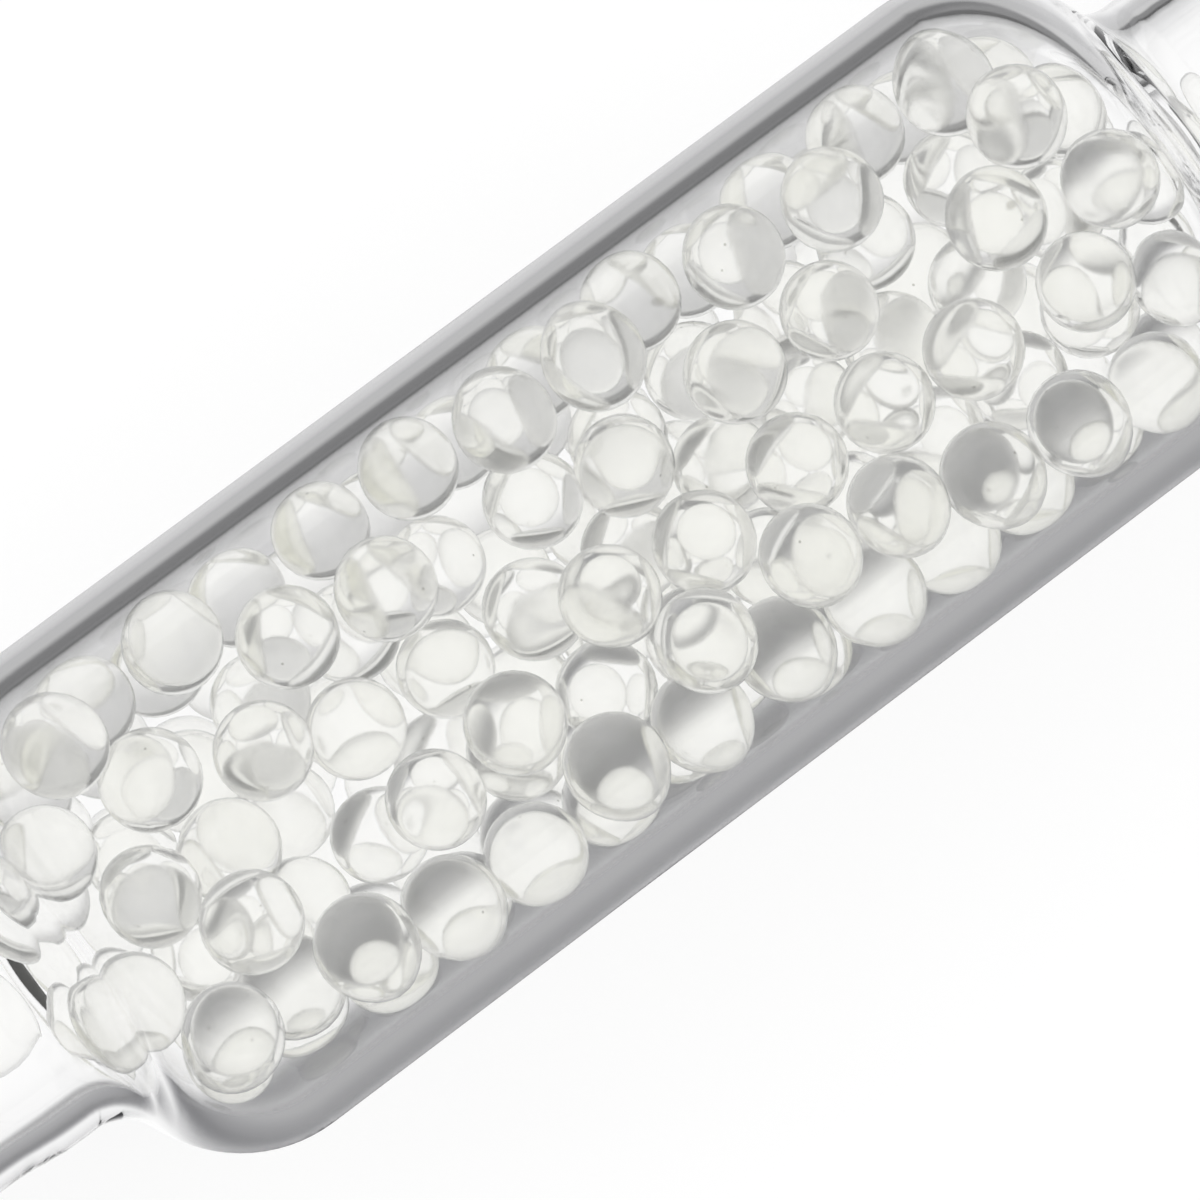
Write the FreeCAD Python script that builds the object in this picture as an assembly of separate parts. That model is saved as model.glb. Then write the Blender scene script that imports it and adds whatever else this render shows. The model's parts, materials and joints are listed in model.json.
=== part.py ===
"""A sealed glass rainstick: three wide chambers in a row, joined by two narrow necks, with
solid glass beads that run from one chamber to the next when the stick is tipped.

Frame: the stick lies along X on the plane Z = 0, its middle over the origin. Millimetres.
"""
import FreeCAD
import Part
import math
import os
import random

# Wide glass tube of the three chambers
tube_diameter = 32.0
tube_wall = 2.0
middle_straight = 63.0
left_straight = 63.0
right_straight = 63.0

# Shoulders, where a wide tube is drawn in to a short stub that meets a neck
shoulder_radius = 8.5
shoulder_angle = 65.0
lip_radius = 1.5
stub_length = 1.0
stub_diameter = 16.8
stub_wall = 2.0

# Necks and the weld rings at their ends
neck_diameter = 16.0
neck_wall = 1.8
neck_length = 20.0
neck_flare_length = 5.0
weld_length = 0.8
weld_bulge = 0.12

# Closed ends: round bottoms, the right one sealed last over the hole that the beads went in by
fill_hole_diameter = 9.0
pip_radius = 1.6
pip_height = 1.0
pip_fillet = 1.6

# Beads
bead_diameter = 6.0
bead_gap = 0.08
packing_share = 0.57
middle_fill = 0.82
left_fill = 0.40
right_fill = 0.28
heap_slope = 24.0
neck_beads = 3
first_neck_bead = 2.1
neck_bead_space = 1.6
runners_per_heap = 3

# Settling of the beads
settle_steps = 150
settle_passes = 3
settle_sink = 0.7
finish_passes = 600
bead_seed = 11

# Worked out from the sizes above
tube_radius = tube_diameter / 2
bore_radius = tube_radius - tube_wall
stub_radius = stub_diameter / 2
stub_bore_radius = stub_radius - stub_wall
neck_radius = neck_diameter / 2
neck_bore_radius = neck_radius - neck_wall
fill_hole_radius = fill_hole_diameter / 2
bead_radius = bead_diameter / 2
bead_pitch = bead_diameter + bead_gap
bead_margin = bead_radius + bead_gap
neck_bead_drop = min(neck_bore_radius, stub_bore_radius) - bead_margin
turn = math.radians(shoulder_angle)
axis_height = tube_radius

shoulder_centre = tube_radius - shoulder_radius
lip_centre = stub_radius + lip_radius
cone_top = shoulder_centre + shoulder_radius * math.cos(turn)
cone_foot = lip_centre - lip_radius * math.cos(turn)
cone_run = (cone_top - cone_foot) / math.tan(turn)
shoulder_length = (shoulder_radius + lip_radius) * math.sin(turn) + cone_run
collar_length = shoulder_length + stub_length

# Places along the stick, counted from the middle of the middle chamber
middle_half = middle_straight / 2
neck_root = middle_half + shoulder_length
neck_start = middle_half + collar_length
weld_end = neck_start + weld_length
neck_end = weld_end + neck_length
end_start = neck_end + weld_length
end_near = end_start + collar_length
left_reach = end_near + left_straight + tube_radius
right_reach = end_near + right_straight + tube_radius + pip_height
middle_x = (left_reach - right_reach) / 2


def point(x, r):
    """A point of an outline: x along the stick, r out from its axis."""
    return FreeCAD.Vector(middle_x + x, 0, axis_height + r)


def line(a, b):
    return Part.LineSegment(point(*a), point(*b)).toShape()


def arc(a, middle, b):
    return Part.Arc(point(*a), point(*middle), point(*b)).toShape()


def polar(centre, radius, angle):
    """A point on a circle round (centre, 0), at an angle from the stick's axis."""
    return centre + radius * math.cos(angle), radius * math.sin(angle)


def on_circle(centre, radius, angle):
    """A point on a circle, at an angle from straight out, leaning towards plus x."""
    return centre[0] + radius * math.sin(angle), centre[1] + radius * math.cos(angle)


def placed(points, start, side):
    """Points counted outwards from start, facing side (+1 or -1)."""
    return [(start + side * u, r) for u, r in points]


def revolve(edges):
    """A solid turned about the axis of the stick from a closed outline."""
    face = Part.Face(Part.Wire(Part.__sortEdges__(edges)))
    return face.revolve(point(0, 0), FreeCAD.Vector(1, 0, 0), 360)


def tube_lines(a, b):
    """The outer and inner edges of a straight wide tube from a to b."""
    return [line((a, r), (b, r)) for r in (tube_radius, bore_radius)]


# Glass


def shoulder_points(wall, stub_depth):
    """The points of a shoulder's profile, at a depth of wall below the outer surface."""
    big = ((0, shoulder_centre), shoulder_radius - wall)
    small = ((shoulder_length, lip_centre), lip_radius + stub_depth)
    return [
        (0, tube_radius - wall),
        on_circle(*big, turn / 2),
        on_circle(*big, turn),
        on_circle(*small, turn - math.pi),
        on_circle(*small, turn / 2 - math.pi),
        (shoulder_length, stub_radius - stub_depth),
        (collar_length, stub_radius - stub_depth),
    ]


def shoulder_edges(start, side):
    """Outer and inner edges of a shoulder with its stub, and the face across the stub's end."""
    edges = []
    ends = []
    for wall, stub_depth in ((0, 0), (tube_wall, stub_wall)):
        p = placed(shoulder_points(wall, stub_depth), start, side)
        edges += [arc(p[0], p[1], p[2]), line(p[2], p[3]), arc(p[3], p[4], p[5]), line(p[5], p[6])]
        ends.append(p[6])
    return edges + [line(*ends)]


def middle_chamber():
    """The wide tube in the middle, drawn in at both ends."""
    straight = tube_lines(-middle_half, middle_half)
    return revolve(straight + shoulder_edges(middle_half, 1) + shoulder_edges(-middle_half, -1))


def left_chamber():
    """The left tube, drawn in towards its neck, its other end closed to a round bottom."""
    far = -end_near - left_straight
    edges = tube_lines(-end_near, far) + shoulder_edges(-end_near, 1)
    tips = []
    for r in (tube_radius, bore_radius):
        start, middle, tip = placed([polar(0, r, a) for a in (math.pi / 2, math.pi / 4, 0)], far, -1)
        edges.append(arc(start, middle, tip))
        tips.append(tip)
    return revolve(edges + [line(*tips)])


def fill_rim():
    """The rim round the filling hole: the angles at which it cuts the outer and inner domes."""
    inner = math.asin(fill_hole_radius / bore_radius)
    outer = math.acos(bore_radius * math.cos(inner) / tube_radius)
    return outer, inner


def right_chamber():
    """The right tube, drawn in towards its neck, with a round bottom left open at its tip."""
    far = end_near + right_straight
    edges = tube_lines(end_near, far) + shoulder_edges(end_near, -1)
    rim = []
    for r, stop in zip((tube_radius, bore_radius), fill_rim()):
        angles = (math.pi / 2, (math.pi / 2 + stop) / 2, stop)
        start, middle, end = placed([polar(0, r, a) for a in angles], far, 1)
        edges.append(arc(start, middle, end))
        rim.append(end)
    return revolve(edges + [line(*rim)])


def fill_seal():
    """The tip that closes the filling hole, with the pip where the glass was pulled off."""
    outer_stop, inner_stop = fill_rim()
    tip = tube_radius + pip_height
    pip_centre = tip - pip_radius
    to_fillet = tube_radius + pip_fillet
    across = pip_radius + pip_fillet
    lean = math.acos((to_fillet**2 + pip_centre**2 - across**2) / (2 * to_fillet * pip_centre))
    fillet = polar(0, to_fillet, lean)
    foot = math.atan2(fillet[1], fillet[0] - pip_centre)
    fillet_middle = (foot + lean) / 2 + math.pi
    outer = [
        polar(0, tube_radius, outer_stop),
        polar(0, tube_radius, (outer_stop + lean) / 2),
        polar(0, tube_radius, lean),
        (fillet[0] + pip_fillet * math.cos(fillet_middle), fillet[1] + pip_fillet * math.sin(fillet_middle)),
        polar(pip_centre, pip_radius, foot),
        polar(pip_centre, pip_radius, foot / 2),
        (tip, 0),
    ]
    inner = [polar(0, bore_radius, a) for a in (inner_stop, inner_stop / 2, 0)]
    far = end_near + right_straight
    o = placed(outer, far, 1)
    i = placed(inner, far, 1)
    edges = [arc(o[0], o[1], o[2]), arc(o[2], o[3], o[4]), arc(o[4], o[5], o[6]), arc(*i)]
    return revolve(edges + [line(o[6], i[2]), line(o[0], i[0])])


def weld_ring(side, start):
    """The ring of fused glass between a stub and a neck, beginning at start."""
    a = side * start
    b = side * (start + weld_length)
    outer = arc((a, stub_radius), ((a + b) / 2, stub_radius + weld_bulge), (b, stub_radius))
    inner = line((a, stub_bore_radius), (b, stub_bore_radius))
    ends = [line((x, stub_radius), (x, stub_bore_radius)) for x in (a, b)]
    return revolve([outer, inner] + ends)


def neck(side):
    """The narrow tube between two chambers, flared at each end to the size of the weld rings."""
    stations = (weld_end, weld_end + neck_flare_length, neck_end - neck_flare_length, neck_end)
    outer_radii = (stub_radius, neck_radius, neck_radius, stub_radius)
    inner_radii = (stub_bore_radius, neck_bore_radius, neck_bore_radius, stub_bore_radius)
    outer = [(side * x, r) for x, r in zip(stations, outer_radii)]
    inner = [(side * x, r) for x, r in zip(stations, inner_radii)]
    loop = outer + inner[::-1]
    return revolve([line(a, b) for a, b in zip(loop, loop[1:] + loop[:1])])


# Beads. Their centres are lists of x along the stick, y across it and z up from its axis.


def shoulder_reach(u):
    """How far out a bead's centre may lie at a distance u past the start of a shoulder."""
    big = max(shoulder_radius - tube_wall - bead_margin, 0.0)
    small = lip_radius + stub_wall + bead_margin
    big_end = big * math.sin(turn)
    small_start = shoulder_length - small * math.sin(turn)
    if u <= big_end:
        return shoulder_centre + math.sqrt(max(0.0, big * big - u * u))
    if u < small_start:
        a = shoulder_centre + big * math.cos(turn)
        b = lip_centre - small * math.cos(turn)
        return a + (b - a) * (u - big_end) / (small_start - big_end)
    if u < shoulder_length:
        return lip_centre - math.sqrt(small * small - (shoulder_length - u) ** 2)
    return stub_bore_radius - bead_margin


class Room:
    """The space in a chamber where bead centres may lie: a straight bore from low to high,
    with a shoulder or a round bottom at each end. A ring is the path of a bead that stands in
    a neck while the beads of the room turn past it, given as its x and its distance out."""

    def __init__(self, low, high, low_end, high_end, rings=()):
        self.low = low
        self.high = high
        self.ends = (low_end, high_end)
        self.rings = rings
        self.reach = bore_radius - bead_margin
        lengths = {"shoulder": shoulder_length, "bottom": self.reach}
        self.from_x = low - lengths[low_end]
        self.to_x = high + lengths[high_end]

    def radius_at(self, x):
        """How far out from the axis a bead's centre may lie at x."""
        if self.low <= x <= self.high:
            return self.reach
        kind, u = (self.ends[0], self.low - x) if x < self.low else (self.ends[1], x - self.high)
        if kind == "shoulder":
            return shoulder_reach(u)
        return math.sqrt(max(0.0, self.reach**2 - u * u))

    def hold(self, p):
        """Moves a centre back inside the room, square to the wall that it met."""
        x = min(max(p[0], self.from_x), self.to_x)
        r = math.hypot(p[1], p[2])
        for ring_x, ring_r in self.rings:
            past = math.sqrt(max(0.0, bead_pitch**2 - (r - ring_r) ** 2))
            x = max(x, ring_x + past) if ring_x < 0 else min(x, ring_x - past)
        allowed = self.radius_at(x)
        if r > allowed:
            beyond = self.radius_at(x + bead_gap)
            slope = (beyond - self.radius_at(x - bead_gap)) / (2 * bead_gap)
            share = 1 / (1 + slope * slope)
            deep = r - allowed
            x = min(max(x + deep * slope * share, self.from_x), self.to_x)
            scale = min(r - deep * share, self.radius_at(x)) / r
            p[1] *= scale
            p[2] *= scale
        p[0] = x

    def bead_count(self, fill):
        """How many loosely packed beads fill this share of the room."""
        slices = 200
        width = (self.to_x - self.from_x) / slices
        areas = [
            math.pi * (self.radius_at(self.from_x + (i + 0.5) * width) + bead_margin) ** 2
            for i in range(slices)
        ]
        bead_volume = math.pi * bead_diameter**3 / 6
        return int(fill * packing_share * sum(areas) * width / bead_volume)


def near_pairs(beads, cutoff):
    """Pairs of beads closer than cutoff, found through a grid of cells."""
    cells = {}
    for i, p in enumerate(beads):
        key = tuple(math.floor(c / cutoff) for c in p)
        cells.setdefault(key, []).append(i)
    steps = [(a, b, c) for a in (-1, 0, 1) for b in (-1, 0, 1) for c in (-1, 0, 1)]
    pairs = []
    for key, members in cells.items():
        for step in steps:
            beside = cells.get(tuple(k + s for k, s in zip(key, step)), ())
            pairs += [
                (i, j) for i in members for j in beside if i < j and math.dist(beads[i], beads[j]) < cutoff
            ]
    return pairs


def push_apart(beads, pairs, pitch):
    """Moves each pair that is closer than pitch apart, and returns the deepest overlap found."""
    worst = 0.0
    for i, j in pairs:
        p = beads[i]
        q = beads[j]
        apart = math.dist(p, q)
        if 0 < apart < pitch:
            worst = max(worst, pitch - apart)
            share = (pitch - apart) / apart / 2
            for k in range(3):
                step = (q[k] - p[k]) * share
                p[k] -= step
                q[k] += step
    return worst


def settle(room, fill, lean, seed):
    """Lets beads grow and sink in a room until they lie on one another, clear by the bead gap.
    lean is the angle by which the way down tips towards plus x."""
    chance = random.Random(seed)
    down = (math.sin(math.radians(lean)), -math.cos(math.radians(lean)))
    beads = []
    while len(beads) < room.bead_count(1.0):
        x = chance.uniform(room.from_x, room.to_x)
        y = chance.uniform(-room.reach, room.reach)
        z = chance.uniform(-room.reach, room.reach)
        if math.hypot(y, z) < room.radius_at(x):
            beads.append([x, y, z])
    beads.sort(key=lambda p: -p[0] * down[0] - p[2] * down[1])
    beads = beads[: room.bead_count(fill)]
    for step in range(settle_steps):
        done = step / settle_steps
        pitch = bead_pitch * min(1.0, 0.6 + done)
        sink = settle_sink * (1 - done) ** 2
        if step % 5 == 0:
            pairs = near_pairs(beads, 1.25 * bead_pitch)
        for p in beads:
            p[0] += down[0] * sink
            p[2] += down[1] * sink
        for _ in range(settle_passes):
            push_apart(beads, pairs, pitch)
            for p in beads:
                room.hold(p)
    for step in range(finish_passes):
        if step % 20 == 0:
            pairs = near_pairs(beads, 1.1 * bead_pitch)
        worst = push_apart(beads, pairs, bead_pitch)
        for p in beads:
            room.hold(p)
        if worst < 0.1 * bead_gap:
            break
    return beads


def neck_row(side):
    """Bead centres in a neck, lying in a row on its floor, the one by the middle chamber first."""
    first = neck_root + first_neck_bead
    step = bead_pitch + neck_bead_space
    return [[side * (first + i * step), 0.0, -neck_bead_drop] for i in range(neck_beads)]


def middle_bed():
    rings = [(side * (neck_root + first_neck_bead), neck_bead_drop) for side in (-1, 1)]
    room = Room(-middle_half, middle_half, "shoulder", "shoulder", rings)
    return settle(room, middle_fill, 0.0, bead_seed)


def end_room(side):
    if side < 0:
        return Room(-end_near - left_straight, -end_near, "bottom", "shoulder")
    return Room(end_near, end_near + right_straight, "shoulder", "bottom")


def split_heap(heap):
    """Parts a heap into its runners, which lie nearest to the neck with nothing ahead of them,
    and the bed of all the others."""
    ahead = sorted(heap, key=lambda p: abs(p[0]))
    return ahead[:runners_per_heap], ahead[runners_per_heap:]


def bead(centre):
    x, y, z = centre
    return Part.makeSphere(bead_radius, FreeCAD.Vector(middle_x + x, y, axis_height + z))


# All nodes


def glass_nodes():
    nodes = {
        "middle_chamber": middle_chamber(),
        "left_chamber": left_chamber(),
        "right_chamber": right_chamber(),
        "right_fill_seal": fill_seal(),
    }
    for side, name in ((-1, "left"), (1, "right")):
        nodes[f"{name}_neck"] = neck(side)
        nodes[f"{name}_inner_weld"] = weld_ring(side, neck_start)
        nodes[f"{name}_outer_weld"] = weld_ring(side, neck_end)
    return nodes


def bead_nodes():
    nodes = {"middle_bed": Part.Compound([bead(p) for p in middle_bed()])}
    for side, name, fill in ((-1, "left", left_fill), (1, "right", right_fill)):
        heap = settle(end_room(side), fill, side * heap_slope, bead_seed + side)
        runners, bed = split_heap(heap)
        nodes[f"{name}_bed"] = Part.Compound([bead(p) for p in bed])
        for i, p in enumerate(runners, 1):
            nodes[f"{name}_runner_{i}"] = bead(p)
        for i, p in enumerate(neck_row(side), 1):
            nodes[f"{name}_neck_bead_{i}"] = bead(p)
    return nodes


def main():
    os.makedirs("parts", exist_ok=True)
    for name, shape in {**glass_nodes(), **bead_nodes()}.items():
        shape.exportStep(os.path.join("parts", name + ".step"))
        print(f"{name}: {len(shape.Solids)} solids, {shape.Volume:.1f} mm3")


main()
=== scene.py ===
import json
import math
import random

import bmesh
import bpy
import numpy as np
from bpy.props import FloatProperty, FloatVectorProperty, IntProperty, PointerProperty
from mathutils import Euler, Matrix, Vector, noise


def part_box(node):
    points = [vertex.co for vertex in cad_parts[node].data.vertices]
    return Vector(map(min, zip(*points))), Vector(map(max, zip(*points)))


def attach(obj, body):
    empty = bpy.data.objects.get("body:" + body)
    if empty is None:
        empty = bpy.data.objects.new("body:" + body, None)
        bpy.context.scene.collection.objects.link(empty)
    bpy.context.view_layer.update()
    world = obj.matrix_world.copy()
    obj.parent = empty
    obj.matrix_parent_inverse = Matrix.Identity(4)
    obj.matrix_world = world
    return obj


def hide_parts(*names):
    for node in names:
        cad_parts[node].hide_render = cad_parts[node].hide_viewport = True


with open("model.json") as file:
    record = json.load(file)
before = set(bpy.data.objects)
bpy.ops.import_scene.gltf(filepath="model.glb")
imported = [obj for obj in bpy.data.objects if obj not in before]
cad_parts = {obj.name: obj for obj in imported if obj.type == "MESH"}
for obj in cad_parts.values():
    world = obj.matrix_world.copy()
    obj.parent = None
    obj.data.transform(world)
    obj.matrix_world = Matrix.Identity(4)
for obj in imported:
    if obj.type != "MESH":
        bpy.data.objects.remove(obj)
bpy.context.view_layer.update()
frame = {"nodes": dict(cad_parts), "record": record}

bl_info = {
    "name": "Glass rainstick",
    "version": (1, 0, 0),
    "blender": (4, 5, 0),
    "location": "View3D > Sidebar > Rainstick",
    "description": "Three blown glass chambers joined by necks, part filled with glass beads",
    "category": "Object",
}

MM = 0.001

# The CAD nodes that the vessel stands for, and where the CAD says that they are.
GLASS_NODES = frame["record"]["behaviour"]["bodies"]["vessel"]
GRIPS = {mount["name"]: mount for mount in frame["record"]["mounts"]}
TUBE_RADIUS = GRIPS["middle_grip"]["dims"]["r_mm"] * MM
STRAIGHT = GRIPS["middle_grip"]["dims"]["length_mm"] * MM
AXIS_HEIGHT = GRIPS["middle_grip"]["pos_m"][2]
MIDDLE_X = GRIPS["middle_grip"]["pos_m"][0]
BEAD_RADIUS = (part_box("left_neck_bead_1")[1].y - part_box("left_neck_bead_1")[0].y) / 2
STUB_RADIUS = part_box("left_neck")[1].y
NECK_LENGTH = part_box("left_neck")[1].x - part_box("left_neck")[0].x
WELD_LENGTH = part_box("left_inner_weld")[1].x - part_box("left_inner_weld")[0].x


def linear(hex_colour):
    """An sRGB hex colour as the linear RGBA that the shaders take."""
    parts = [int(hex_colour[i:i + 2], 16) / 255 for i in (0, 2, 4)]
    return [c / 12.92 if c <= 0.04045 else ((c + 0.055) / 1.055) ** 2.4 for c in parts] + [1.0]


class RainstickGlass(bpy.types.PropertyGroup):
    """Walls and finish of the blown vessel"""
    wall: FloatProperty(
        name="Chamber wall", description="Glass between the outside and the inside of a chamber",
        default=2.0 * MM, min=0.5 * MM, unit="LENGTH", subtype="DISTANCE")
    neck_wall: FloatProperty(
        name="Neck wall", description="Glass of the narrow necks",
        default=1.8 * MM, min=0.5 * MM, unit="LENGTH", subtype="DISTANCE")
    neck_radius: FloatProperty(
        name="Neck radius", description="Outside of a neck, between its flared ends",
        default=8.0 * MM, unit="LENGTH", subtype="DISTANCE")
    flare: FloatProperty(
        name="Flare", description="Length over which a neck widens to meet its stub",
        default=5.0 * MM, unit="LENGTH", subtype="DISTANCE")
    pip: FloatProperty(
        name="Pip radius", description="Drop of glass that sealing off leaves on the right end",
        default=1.6 * MM, unit="LENGTH", subtype="DISTANCE")
    shoulder: FloatProperty(
        name="Shoulder radius", description="Outer radius where a chamber turns in to its neck",
        default=8.5 * MM, unit="LENGTH", subtype="DISTANCE")
    lip: FloatProperty(
        name="Lip radius", description="Outer radius where the shoulder runs out into the stub",
        default=2.9 * MM, unit="LENGTH", subtype="DISTANCE")
    slope: FloatProperty(
        name="Shoulder slope", description="Steepest slope of a shoulder",
        default=math.radians(65), subtype="ANGLE")
    ripple: FloatProperty(
        name="Seam ripple", description="Height of the rings that the flame leaves at a seam",
        default=0.10 * MM, unit="LENGTH", subtype="DISTANCE")
    sway: FloatProperty(
        name="Sway", description="How far the drawn tube wanders from a true round",
        default=0.012 * MM, unit="LENGTH", subtype="DISTANCE")
    sides: IntProperty(name="Sides", description="Facets round the tube", default=128, min=24)
    colour: FloatVectorProperty(
        name="Tube glass", description="Colour of the clear drawn tube",
        default=linear("FEFEFE"), size=4, min=0, max=1, subtype="COLOR")


class RainstickBeads(bpy.types.PropertyGroup):
    """Size and finish of the glass beads"""
    smallest: FloatProperty(
        name="Smallest", description="Smallest bead, as a share of the nominal size",
        default=0.955, min=0.8, max=1.0, subtype="FACTOR")
    unevenness: FloatProperty(
        name="Unevenness", description="How much shorter a bead is across than along",
        default=0.03, min=0.0, max=0.2, subtype="FACTOR")
    colour: FloatVectorProperty(
        name="Bead glass", description="Colour of the soda-lime glass",
        default=linear("FFFFFD"), size=4, min=0, max=1, subtype="COLOR")
    speck: FloatVectorProperty(
        name="Specks", description="Colour of the grit baked into the beads",
        default=linear("A9A79F"), size=4, min=0, max=1, subtype="COLOR")
    seed: IntProperty(name="Seed", description="Start of the random unevenness", default=5)


class RainstickStudio(bpy.types.PropertyGroup):
    """Table, light and camera"""
    table: FloatVectorProperty(
        name="Table", description="Colour of the pale table",
        default=linear("F4F4F4"), size=4, min=0, max=1, subtype="COLOR")
    dome: FloatVectorProperty(
        name="Dome", description="Colour of the light tent above the table",
        default=linear("FFFFFF"), size=4, min=0, max=1, subtype="COLOR")
    skirt: FloatVectorProperty(
        name="Skirt", description="Colour of the light tent down by the table, where it is in shade",
        default=linear("8A8A8B"), size=4, min=0, max=1, subtype="COLOR")
    distance: FloatProperty(
        name="Camera distance", description="From the lens to the middle chamber",
        default=459.06 * MM, unit="LENGTH", subtype="DISTANCE")
    focal: FloatProperty(
        name="Focal length", description="On a sensor 36 mm wide", default=244.8, subtype="DISTANCE_CAMERA")
    lean: FloatProperty(
        name="Lean", description="How far the camera leans over towards the left end",
        default=math.radians(10.43), subtype="ANGLE")
    height: FloatProperty(
        name="Height", description="How high the camera looks from, seen along the stick",
        default=math.radians(84.0), subtype="ANGLE")
    roll: FloatProperty(
        name="Roll", description="How far the stick is turned in the picture",
        default=math.radians(36.73), subtype="ANGLE")


def add_node(tree, kind, settings=(), values=(), links=()):
    """Adds a node, sets its own settings and its free sockets, and links the others to what came before."""
    made = tree.nodes.new(kind)
    for name, value in dict(settings).items():
        setattr(made, name, value)
    for name, value in dict(values).items():
        made.inputs[name].default_value = value
    for name, source in dict(links).items():
        tree.links.new(source, made.inputs[name])
    return made


def new_material(name):
    """An empty material and its node tree."""
    material = bpy.data.materials.new(name)
    material.use_nodes = True
    material.node_tree.nodes.clear()
    return material, material.node_tree


def drawn_borosilicate_tube():
    """Borosilicate glass tube, drawn hot from the melt: clear as water, fire bright, with faint
    lines along the draw that only show where the wall is seen edge on."""
    settings = bpy.context.scene.rainstick_glass
    material, tree = new_material("drawn_borosilicate_tube")
    where = add_node(tree, "ShaderNodeTexCoord")
    # Draw lines lie 1.2 mm apart round the tube and run for about 60 mm.
    along = add_node(tree, "ShaderNodeMapping", values={"Scale": (16, 800, 800)},
                     links={"Vector": where.outputs["Object"]})
    lines = add_node(tree, "ShaderNodeTexNoise", values={"Scale": 1.0, "Detail": 2.0},
                     links={"Vector": along.outputs["Vector"]})
    bump = add_node(tree, "ShaderNodeBump", values={"Strength": 0.04, "Distance": 0.02 * MM},
                    links={"Height": lines.outputs["Fac"]})
    glass = add_node(tree, "ShaderNodeBsdfPrincipled",
                     values={"Base Color": settings.colour, "Roughness": 0.0, "IOR": 1.47,
                             "Transmission Weight": 1.0},
                     links={"Normal": bump.outputs["Normal"]})
    add_node(tree, "ShaderNodeOutputMaterial", links={"Surface": glass.outputs["BSDF"]})
    return material


def tumbled_soda_lime_bead():
    """Soda-lime glass bead, pressed hot and tumbled: nearly colourless, its skin slightly dulled,
    with soft dents and a few specks of grit and fine bubbles."""
    settings = bpy.context.scene.rainstick_beads
    material, tree = new_material("tumbled_soda_lime_bead")
    where = add_node(tree, "ShaderNodeTexCoord")
    # Dents are 2 mm across. Specks are 0.15 mm across and a few to a bead, drawn coarser than
    # real grit so that they show.
    dents = add_node(tree, "ShaderNodeTexNoise", values={"Scale": 500.0, "Detail": 1.0},
                     links={"Vector": where.outputs["Object"]})
    bump = add_node(tree, "ShaderNodeBump", values={"Strength": 0.12, "Distance": 0.1 * MM},
                    links={"Height": dents.outputs["Fac"]})
    grit = add_node(tree, "ShaderNodeTexVoronoi", values={"Scale": 450.0},
                    links={"Vector": where.outputs["Object"]})
    speck = add_node(tree, "ShaderNodeMapRange",
                     values={"From Min": 0.045, "From Max": 0.03, "To Min": 0.0, "To Max": 1.0},
                     links={"Value": grit.outputs["Distance"]})
    colour = add_node(tree, "ShaderNodeMix", {"data_type": "RGBA"},
                      values={6: settings.colour, 7: settings.speck},
                      links={"Factor": speck.outputs["Result"]})
    glass = add_node(tree, "ShaderNodeBsdfPrincipled",
                     values={"Roughness": 0.11, "IOR": 1.52, "Transmission Weight": 1.0},
                     links={"Normal": bump.outputs["Normal"], "Base Color": colour.outputs[2]})
    add_node(tree, "ShaderNodeOutputMaterial", links={"Surface": glass.outputs["BSDF"]})
    return material


# The share of the table that the camera sees as plain white paper. The rest takes the shadow.
PAPER_SHARE = 0.9

# Painted shade and glow on the table, seen only through glass and in reflections, at so many mm across the
# stick.
TABLE_PAINTED_SHADE_AND_GLOW = (
    (-100, "F4F4F4"), (-75, "E4E4E5"), (-60, "A4A4A5"), (-50, "A4A4A5"), (-34, "B0B0B1"),
    (-27, "B0B0B1"), (-23, "A2A2A4"), (-19, "8F8F91"), (-17, "7B7B7D"), (-15, "77777A"),
    (-13.5, "9C9C9E"), (-11, "FFFFFF"), (11, "FFFFFF"), (15, "E2E2E3"), (18, "CECECF"),
    (25, "C6C6C7"), (30.5, "C4C4C4"), (32, "B6B6B6"), (33.3, "9C9C9D"), (34.3, "828283"),
    (35.5, "767677"), (42.5, "737374"), (45.5, "3C3C3D"), (60, "3C3C3D"), (75, "E4E4E5"),
    (100, "F4F4F4"),
)


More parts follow.
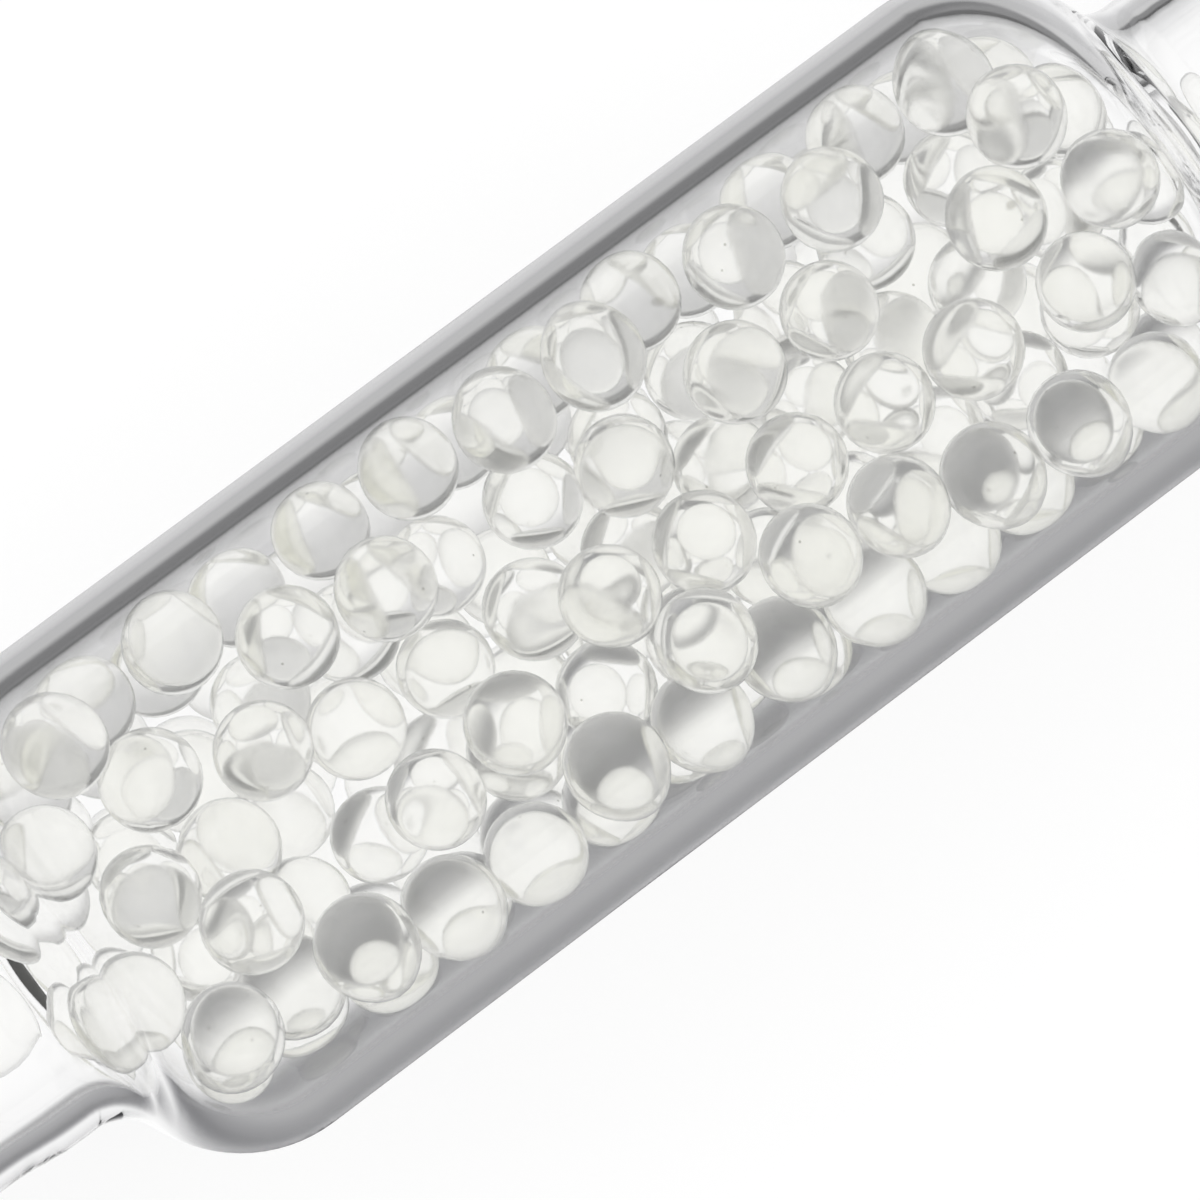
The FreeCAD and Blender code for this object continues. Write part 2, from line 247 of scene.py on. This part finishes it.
def table_with_painted_shade():
    """Pale table, sanded matt: paper white to the eye, keeping a faint shadow. What glass shows of it
    is painted light and shade, lit by no lamp: a painted glow under the stick, painted shadow beside it."""
    settings = bpy.context.scene.rainstick_studio
    material, tree = new_material("pale_table_with_painted_shade")
    where = add_node(tree, "ShaderNodeTexCoord")
    place = add_node(tree, "ShaderNodeSeparateXYZ", links={0: where.outputs["Object"]})
    reach = TABLE_PAINTED_SHADE_AND_GLOW[-1][0] - TABLE_PAINTED_SHADE_AND_GLOW[0][0]
    across = add_node(tree, "ShaderNodeMapRange",
                      values={"From Min": TABLE_PAINTED_SHADE_AND_GLOW[0][0] * MM, "From Max": TABLE_PAINTED_SHADE_AND_GLOW[-1][0] * MM},
                      links={"Value": place.outputs["Y"]})
    # The painted shade and glow that glass sees on the table, graded across the stick.
    painted_shade_ramp = add_node(tree, "ShaderNodeValToRGB", links={"Fac": across.outputs["Result"]})
    painted_shade_ramp.color_ramp.interpolation = "LINEAR"
    while len(painted_shade_ramp.color_ramp.elements) < len(TABLE_PAINTED_SHADE_AND_GLOW):
        painted_shade_ramp.color_ramp.elements.new(1.0)
    for stop, (y, tone) in zip(painted_shade_ramp.color_ramp.elements, TABLE_PAINTED_SHADE_AND_GLOW):
        stop.position = (y - TABLE_PAINTED_SHADE_AND_GLOW[0][0]) / reach
        stop.color = linear(tone)
    # Camera rays see plain white paper; glass and its reflections see only the painted shade and glow.
    ray = add_node(tree, "ShaderNodeLightPath")
    paper_or_painted_shade = add_node(tree, "ShaderNodeMix", {"data_type": "RGBA"}, values={7: linear("FFFFFF")},
                     links={"Factor": ray.outputs["Is Camera Ray"], 6: painted_shade_ramp.outputs["Color"]})
    bounced = add_node(tree, "ShaderNodeMath", {"operation": "MAXIMUM"},
                       links={0: ray.outputs["Is Transmission Ray"], 1: ray.outputs["Is Glossy Ray"]})
    seen = add_node(tree, "ShaderNodeMath", {"operation": "MULTIPLY"},
                    values={1: PAPER_SHARE}, links={0: ray.outputs["Is Camera Ray"]})
    share = add_node(tree, "ShaderNodeMath", {"operation": "MAXIMUM"},
                     links={0: seen.outputs["Value"], 1: bounced.outputs["Value"]})
    board = add_node(tree, "ShaderNodeBsdfDiffuse", values={"Color": settings.table})
    light = add_node(tree, "ShaderNodeEmission", values={"Strength": 1.0},
                     links={"Color": paper_or_painted_shade.outputs[2]})
    both = add_node(tree, "ShaderNodeMixShader",
                    links={0: share.outputs["Value"], 1: board.outputs["BSDF"],
                           2: light.outputs["Emission"]})
    add_node(tree, "ShaderNodeOutputMaterial", links={"Surface": both.outputs["Shader"]})
    return material


FINISH_NAMES = {
    drawn_borosilicate_tube: "drawn_borosilicate_tube",
    tumbled_soda_lime_bead: "tumbled_soda_lime_bead",
    table_with_painted_shade: "pale_table_with_painted_shade",
}


def finish_named(make):
    """The finish that the function gives, made once and then shared."""
    found = bpy.data.materials.get(FINISH_NAMES[make])
    return found or make()


def piece_from(bm, name, material):
    """A smooth object at the origin from a bmesh, which is freed."""
    mesh = bpy.data.meshes.new(name)
    for face in bm.faces:
        face.smooth = True
    bm.to_mesh(mesh)
    bm.free()
    mesh.materials.append(material)
    piece = bpy.data.objects.new(name, mesh)
    bpy.context.scene.collection.objects.link(piece)
    return piece


class Pen:
    """Draws half the section of a vessel wall along the stick, one run or bend at a time."""

    def __init__(self, bm, x, heading):
        self.bm = bm
        self.heading = heading
        self.end = bm.verts.new((x, 0, AXIS_HEIGHT))

    def run(self, length):
        """Straight on."""
        made = bmesh.ops.extrude_vert_indiv(self.bm, verts=[self.end])
        self.end = made["verts"][0]
        bmesh.ops.translate(self.bm, verts=[self.end], vec=self.ahead() * length)
        return self

    def ahead(self):
        """One unit the way that the pen heads. A positive heading goes in towards the axis."""
        return Vector((math.cos(self.heading), 0, -math.sin(self.heading)))

    def bend(self, radius, turn, steps):
        """Round an arc, towards the axis if turn is positive."""
        inward = Vector((-math.sin(self.heading), 0, -math.cos(self.heading)))
        centre = self.end.co + inward * math.copysign(radius, turn)
        made = bmesh.ops.spin(self.bm, geom=[self.end], cent=centre, axis=(0, 1, 0), dvec=(0, 0, 0),
                              angle=turn, steps=steps, use_merge=False, use_duplicate=False)
        self.end = [part for part in made["geom_last"] if isinstance(part, bmesh.types.BMVert)][0]
        self.heading += turn
        return self

    def drift(self, length, drop, steps):
        """A soft S that ends level, lower by drop."""
        if abs(drop) < 1e-9:
            return self.run(length)
        turn = 2 * math.atan(drop / length)
        radius = length / 2 / math.sin(abs(turn))
        return self.bend(radius, turn, steps).bend(radius, -turn, steps)

    @property
    def radius(self):
        """How far the pen is from the axis."""
        return self.end.co.z - AXIS_HEIGHT


# How many short straight pieces stand for each bend of the section, and the longest of them.
DOME_STEPS = 24
SHOULDER_STEPS = 14
LIP_STEPS = 10
FLARE_STEPS = 4
PIP_FILLET_STEPS = 8
PIP_STEPS = 10
LONGEST_STEP = 2.5 * MM


def wall_line(bm, inset, neck_inset, pip):
    """Draws the section from the left pole to the right one, inset from the outside by the wall.
    The right end closes in a pip if pip is true, and in a plain dome otherwise."""
    glass = bpy.context.scene.rainstick_glass
    lip, slope = glass.lip, glass.slope
    stub = STUB_RADIUS - inset
    neck = glass.neck_radius - neck_inset
    dome = TUBE_RADIUS - inset
    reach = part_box("middle_chamber")[1].x - MIDDLE_X - STRAIGHT / 2
    bends, drop = glass.shoulder + lip, TUBE_RADIUS - STUB_RADIUS
    stub_length = reach - bends * math.sin(slope) \
        - (drop - bends * (1 - math.cos(slope))) / math.tan(slope)
    bend, turn_out = glass.shoulder - inset, lip + inset

    def shoulder_down(pen):
        """From the tube in to the stub."""
        fall = pen.radius - stub - (bend + turn_out) * (1 - math.cos(slope))
        pen.bend(bend, slope, SHOULDER_STEPS)
        pen.run(fall / math.sin(slope))
        pen.bend(turn_out, -slope, LIP_STEPS)
        pen.run(stub_length)

    def shoulder_up(pen):
        """From the stub out to the tube."""
        fall = dome - pen.radius - (bend + turn_out) * (1 - math.cos(slope))
        pen.run(stub_length)
        pen.bend(turn_out, -slope, LIP_STEPS)
        pen.run(fall / math.sin(slope))
        pen.bend(bend, slope, SHOULDER_STEPS)

    def neck_run(pen):
        """A weld ring, the neck with its flared ends, and the next weld ring."""
        pen.run(WELD_LENGTH)
        pen.drift(glass.flare, stub - neck, FLARE_STEPS)
        pen.run(NECK_LENGTH - 2 * glass.flare)
        pen.drift(glass.flare, neck - stub, FLARE_STEPS)
        pen.run(WELD_LENGTH)

    pen = Pen(bm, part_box("left_chamber")[0].x + inset, math.radians(-90))
    pen.bend(dome, math.radians(90), DOME_STEPS)
    pen.run(STRAIGHT)
    shoulder_down(pen)
    neck_run(pen)
    shoulder_up(pen)
    pen.run(STRAIGHT)
    shoulder_down(pen)
    neck_run(pen)
    shoulder_up(pen)
    pen.run(STRAIGHT)
    if not pip:
        pen.bend(dome, math.radians(90), DOME_STEPS)
        return
    # The drop of glass that sealing off leaves: a ball that stands out of the dome, with a fillet.
    ball = fillet = glass.pip
    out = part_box("right_fill_seal")[1].x - (pen.end.co.x + dome)
    reach = dome + out - ball
    side = (reach ** 2 + (dome + fillet) ** 2 - (ball + fillet) ** 2) / (2 * reach)
    rise = math.sqrt((dome + fillet) ** 2 - side ** 2)
    at_dome = math.atan2(rise, side)
    at_ball = math.atan2(rise, side - reach)
    pen.bend(dome, math.radians(90) - at_dome, DOME_STEPS)
    pen.bend(fillet, at_dome - at_ball, PIP_FILLET_STEPS)
    pen.bend(ball, at_ball, PIP_STEPS)


def skin(inset, neck_inset, pip):
    """One closed skin of the vessel, facing outwards, as a new bmesh."""
    section = bmesh.new()
    wall_line(section, inset, neck_inset, pip)
    for edge in [e for e in section.edges if e.calc_length() > LONGEST_STEP]:
        cuts = int(edge.calc_length() / LONGEST_STEP)
        bmesh.ops.subdivide_edges(section, edges=[edge], cuts=cuts)
    bmesh.ops.spin(section, geom=section.verts[:] + section.edges[:], cent=(0, 0, AXIS_HEIGHT),
                   axis=(1, 0, 0), dvec=(0, 0, 0), angle=math.tau,
                   steps=bpy.context.scene.rainstick_glass.sides, use_merge=True,
                   use_duplicate=False)
    bmesh.ops.remove_doubles(section, verts=section.verts, dist=1e-6)
    bmesh.ops.recalc_face_normals(section, faces=section.faces)
    return section


def seam_places():
    """The x of the middle of each fused seam, and which way its chamber lies."""
    sides = {"left_outer_weld": -1, "left_inner_weld": 1, "right_inner_weld": -1, "right_outer_weld": 1}
    return [((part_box(name)[0].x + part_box(name)[1].x) / 2, side) for name, side in sides.items()]


# Rings that the flame leaves at a seam, and how far they reach each way before they fade.
RING_SPACING = 1.5 * MM
RING_REACH_IN_CHAMBER = 1.2 * MM
RING_REACH_IN_NECK = 2.6 * MM
SWAY_LENGTH = 14 * MM
STILL_RADIUS = 4 * MM


def work_glass(section, depth, share):
    """Moves the skin as the flame and the draw leave it: rings at the seams, slow wander between.
    Depth keeps the two skins from moving alike, and share scales the move."""
    glass = bpy.context.scene.rainstick_glass
    seams = seam_places()
    for vert in section.verts:
        out = Vector((0, vert.co.y, vert.co.z - AXIS_HEIGHT))
        if out.length < STILL_RADIUS:
            continue
        way = out.normalized()
        turn = math.atan2(way.y, way.z)
        _, past, side = min((abs(vert.co.x - x), vert.co.x - x, side) for x, side in seams)
        slow = Vector((vert.co.x / SWAY_LENGTH, math.cos(turn) * 2, math.sin(turn) * 2 + depth))
        move = glass.sway * noise.noise(slow) * share
        fade = math.exp(-(past / (RING_REACH_IN_CHAMBER if past * side > 0 else RING_REACH_IN_NECK)) ** 2)
        wave = math.cos(math.tau * past / RING_SPACING + 0.8 * noise.noise(slow * 0.7))
        patch = 0.6 + 0.8 * noise.noise(Vector((way.y * 1.5, way.z * 1.5, past * 300 + depth)))
        move += glass.ripple * share * fade * (wave * patch - 0.2) * 0.5
        vert.co += way * move


class RAINSTICK_OT_vessel(bpy.types.Operator):
    """Blow the glass vessel: three chambers, two necks and their seams in one fused wall"""
    bl_idname = "rainstick.vessel"
    bl_label = "Glass vessel"

    def execute(self, context):
        glass = context.scene.rainstick_glass
        outside = skin(0.0, 0.0, True)
        work_glass(outside, 0.0, 1.0)
        inside = skin(glass.wall, glass.neck_wall, False)
        work_glass(inside, 7.3, 0.5)
        bmesh.ops.reverse_faces(inside, faces=inside.faces)
        lining = bpy.data.meshes.new("lining")
        inside.to_mesh(lining)
        inside.free()
        outside.from_mesh(lining)
        bpy.data.meshes.remove(lining)
        vessel = piece_from(outside, "vessel_wall", finish_named(drawn_borosilicate_tube))
        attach(vessel, "vessel")
        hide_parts(*GLASS_NODES)
        return {"FINISHED"}


# How far each corner of a bead's cage stands out, so that the rounded bead comes out at its size:
# the middle of a side, the middle of an edge, and a corner of the cube that it starts from.
CAGE_REACH = {1: 1.2357, 2: 1.2068, 3: 1.1152}


def bead_cage():
    """A cube cut once each way and blown out to a ball of 24 faces, one unit in radius."""
    bm = bmesh.new()
    bmesh.ops.create_cube(bm, size=1.0)
    bmesh.ops.subdivide_edges(bm, edges=bm.edges[:], cuts=1, use_grid_fill=True)
    for vert in bm.verts:
        kind = sum(abs(c) > 0.1 for c in vert.co)
        vert.co = vert.co.normalized() * CAGE_REACH[kind]
    mesh = bpy.data.meshes.new("bead_cage")
    bm.to_mesh(mesh)
    bm.free()
    return mesh


# Guesses at a bead's centre that fall in one cell of this size are taken together first.
CELL = 0.5 * MM


def bead_centres(node):
    """Where the beads of a CAD node lie. Every flat of a ball faces straight away from its centre,
    except slivers at the poles, which are left out."""
    mesh = frame["nodes"][node].data
    count = len(mesh.polygons)
    middle, normal, area = np.empty(count * 3), np.empty(count * 3), np.empty(count)
    mesh.polygons.foreach_get("center", middle)
    mesh.polygons.foreach_get("normal", normal)
    mesh.polygons.foreach_get("area", area)
    guess = (middle - normal * BEAD_RADIUS).reshape(-1, 3)[area > np.median(area) / 4]
    cells = np.round(guess / CELL).astype(int)
    kinds, kind = np.unique(cells, axis=0, return_inverse=True)
    sums = np.zeros((len(kinds), 4))
    np.add.at(sums, kind.ravel(), np.hstack([guess, np.ones((len(guess), 1))]))
    found = []
    for row in sums[np.argsort(-sums[:, 3])]:
        place = row[:3] / row[3]
        near = [f for f in found if np.linalg.norm(f[:3] / f[3] - place) < BEAD_RADIUS]
        if near:
            near[0] += row
        else:
            found.append(row.copy())
    return sorted((Vector(f[:3] / f[3]) for f in found), key=lambda c: (round(c.x, 5), round(c.y, 5)))


def beads(name, node, body):
    """One piece with a bead wherever the CAD node has one, each a little uneven and turned its own way."""
    settings = bpy.context.scene.rainstick_beads
    chance = random.Random(f"{name} {settings.seed}")
    cage = bead_cage()
    bm = bmesh.new()
    for centre in bead_centres(node):
        start = len(bm.verts)
        bm.from_mesh(cage)
        bm.verts.ensure_lookup_table()
        new = bm.verts[start:]
        size = BEAD_RADIUS * chance.uniform(settings.smallest, 1.0)
        stretch = Vector([1 - chance.uniform(0, settings.unevenness) for _ in range(3)])
        turn = Euler([chance.uniform(0, math.tau) for _ in range(3)]).to_matrix().to_4x4()
        spin = Euler([chance.uniform(0, math.tau) for _ in range(3)]).to_matrix().to_4x4()
        shape = Matrix.Diagonal((*(stretch * size), 1))
        bmesh.ops.transform(bm, matrix=Matrix.Translation(centre) @ turn @ shape @ spin, verts=new)
    bpy.data.meshes.remove(cage)
    piece = piece_from(bm, name, finish_named(tumbled_soda_lime_bead))
    rounding = piece.modifiers.new("round", "SUBSURF")
    rounding.levels = rounding.render_levels = 2
    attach(piece, body)
    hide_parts(node)
    return piece


class RAINSTICK_OT_middle_beads(bpy.types.Operator):
    """Fill the middle chamber with its bed of beads"""
    bl_idname = "rainstick.middle_beads"
    bl_label = "Middle beads"

    def execute(self, context):
        beads("middle_beads_glass", "middle_bed", "middle_beads")
        return {"FINISHED"}


class RAINSTICK_OT_end_heaps(bpy.types.Operator):
    """Heap the beads that have already run into the end chambers, with the foremost ones loose"""
    bl_idname = "rainstick.end_heaps"
    bl_label = "End heaps"

    def execute(self, context):
        for side in ("left", "right"):
            beads(f"{side}_heap_glass", f"{side}_bed", f"{side}_heap")
            for number in (1, 2, 3):
                beads(f"{side}_runner_{number}_glass", f"{side}_runner_{number}", f"{side}_runner_{number}")
        return {"FINISHED"}


class RAINSTICK_OT_neck_beads(bpy.types.Operator):
    """Put the single beads into the two necks"""
    bl_idname = "rainstick.neck_beads"
    bl_label = "Neck beads"

    def execute(self, context):
        for side in ("left", "right"):
            for number in (1, 2, 3):
                name = f"{side}_neck_bead_{number}"
                beads(f"{name}_glass", name, name)
        return {"FINISHED"}


def soft_box(name, place, target, size, power):
    """A square soft box that faces a point."""
    lamp = bpy.data.lights.new(name, "AREA")
    lamp.shape = "SQUARE"
    lamp.size = size
    lamp.energy = power
    box = bpy.data.objects.new(name, lamp)
    box.location = place
    box.visible_glossy = box.visible_transmission = False
    box.rotation_euler = (Vector(target) - Vector(place)).to_track_quat("-Z", "Y").to_euler()
    bpy.context.scene.collection.objects.link(box)


class RAINSTICK_OT_stage(bpy.types.Operator):
    """Set the pale table, the light tent, the soft boxes and the camera"""
    bl_idname = "rainstick.stage"
    bl_label = "Stage"

    def execute(self, context):
        studio = context.scene.rainstick_studio
        bm = bmesh.new()
        bmesh.ops.create_grid(bm, x_segments=2, y_segments=2, size=2.0)
        mesh = bpy.data.meshes.new("table")
        bm.to_mesh(mesh)
        bm.free()
        table = bpy.data.objects.new("table", mesh)
        mesh.materials.append(finish_named(table_with_painted_shade))
        context.scene.collection.objects.link(table)

        world = bpy.data.worlds.new("light_tent")
        world.use_nodes = True
        tree = world.node_tree
        tree.nodes.clear()
        # White cloth overhead, in shade towards the horizon; plain white behind the object.
        way = add_node(tree, "ShaderNodeTexCoord")
        rise = add_node(tree, "ShaderNodeSeparateXYZ", links={0: way.outputs["Generated"]})
        lit = add_node(tree, "ShaderNodeMapRange", {"interpolation_type": "SMOOTHSTEP"},
                       values={"From Min": -0.1, "From Max": 0.5}, links={"Value": rise.outputs["Z"]})
        cloth = add_node(tree, "ShaderNodeMix", {"data_type": "RGBA"},
                         values={6: studio.skirt, 7: studio.dome}, links={"Factor": lit.outputs["Result"]})
        ray = add_node(tree, "ShaderNodeLightPath")
        seen = add_node(tree, "ShaderNodeMix", {"data_type": "RGBA"}, values={7: linear("FFFFFF")},
                        links={"Factor": ray.outputs["Is Camera Ray"], 6: cloth.outputs[2]})
        dome = add_node(tree, "ShaderNodeBackground", values={"Strength": 1.0},
                        links={"Color": seen.outputs[2]})
        add_node(tree, "ShaderNodeOutputWorld", links={"Surface": dome.outputs["Background"]})
        context.scene.world = world

        soft_box("soft_box_left", (-0.5, 0.5, 0.7), (0, 0, 0), 0.5, 4.0)
        soft_box("soft_box_right", (0.6, -0.3, 0.6), (0, 0, 0), 0.4, 2.0)

        back = Vector((-math.sin(studio.lean), -math.cos(studio.lean) * math.cos(studio.height),
                       math.cos(studio.lean) * math.sin(studio.height)))
        along = (Vector((1, 0, 0)) - back * back.x).normalized()
        across = back.cross(along)
        right = along * math.cos(studio.roll) - across * math.sin(studio.roll)
        up = along * math.sin(studio.roll) + across * math.cos(studio.roll)
        lens = bpy.data.cameras.new("camera")
        lens.sensor_width = 36.0
        lens.lens = studio.focal
        lens.clip_start, lens.clip_end = 0.01, 10.0
        camera = bpy.data.objects.new("camera", lens)
        # The middle of the picture lies a little beside the middle of the chamber.
        aim = Vector((MIDDLE_X - 1.769 * MM, -1.588 * MM, AXIS_HEIGHT))
        pose = Matrix((right, up, back)).transposed().to_4x4()
        pose.translation = aim + back * studio.distance
        camera.matrix_world = pose
        context.scene.collection.objects.link(camera)
        context.scene.camera = camera

        context.scene.view_settings.view_transform = "Standard"
        # Light crosses many glass skins on its way through the beads.
        cycles = context.scene.cycles
        cycles.max_bounces = 40
        cycles.transmission_bounces = 40
        cycles.glossy_bounces = 12
        return {"FINISHED"}


class RAINSTICK_PT_panel(bpy.types.Panel):
    """Settings and steps of the glass rainstick"""
    bl_idname = "RAINSTICK_PT_panel"
    bl_label = "Glass rainstick"
    bl_space_type = "VIEW_3D"
    bl_region_type = "UI"
    bl_category = "Rainstick"

    def draw(self, context):
        for group in GROUPS:
            holder = getattr(context.scene, group)
            box = self.layout.box()
            for name in holder.__annotations__:
                box.prop(holder, name)
        for step in STEPS:
            self.layout.operator(step.bl_idname)


GROUPS = {
    "rainstick_glass": RainstickGlass,
    "rainstick_beads": RainstickBeads,
    "rainstick_studio": RainstickStudio,
}
STEPS = (
    RAINSTICK_OT_vessel,
    RAINSTICK_OT_middle_beads,
    RAINSTICK_OT_end_heaps,
    RAINSTICK_OT_neck_beads,
    RAINSTICK_OT_stage,
)


def register():
    for name, group in GROUPS.items():
        bpy.utils.register_class(group)
        setattr(bpy.types.Scene, name, PointerProperty(type=group))
    for part in (*STEPS, RAINSTICK_PT_panel):
        bpy.utils.register_class(part)


def unregister():
    for part in (RAINSTICK_PT_panel, *reversed(STEPS)):
        bpy.utils.unregister_class(part)
    for name, group in reversed(GROUPS.items()):
        delattr(bpy.types.Scene, name)
        bpy.utils.unregister_class(group)


def main():
    register()
    bpy.ops.rainstick.vessel()
    bpy.ops.rainstick.middle_beads()
    bpy.ops.rainstick.end_heaps()
    bpy.ops.rainstick.neck_beads()
    bpy.ops.rainstick.stage()


if __name__ == "__main__":
    main()
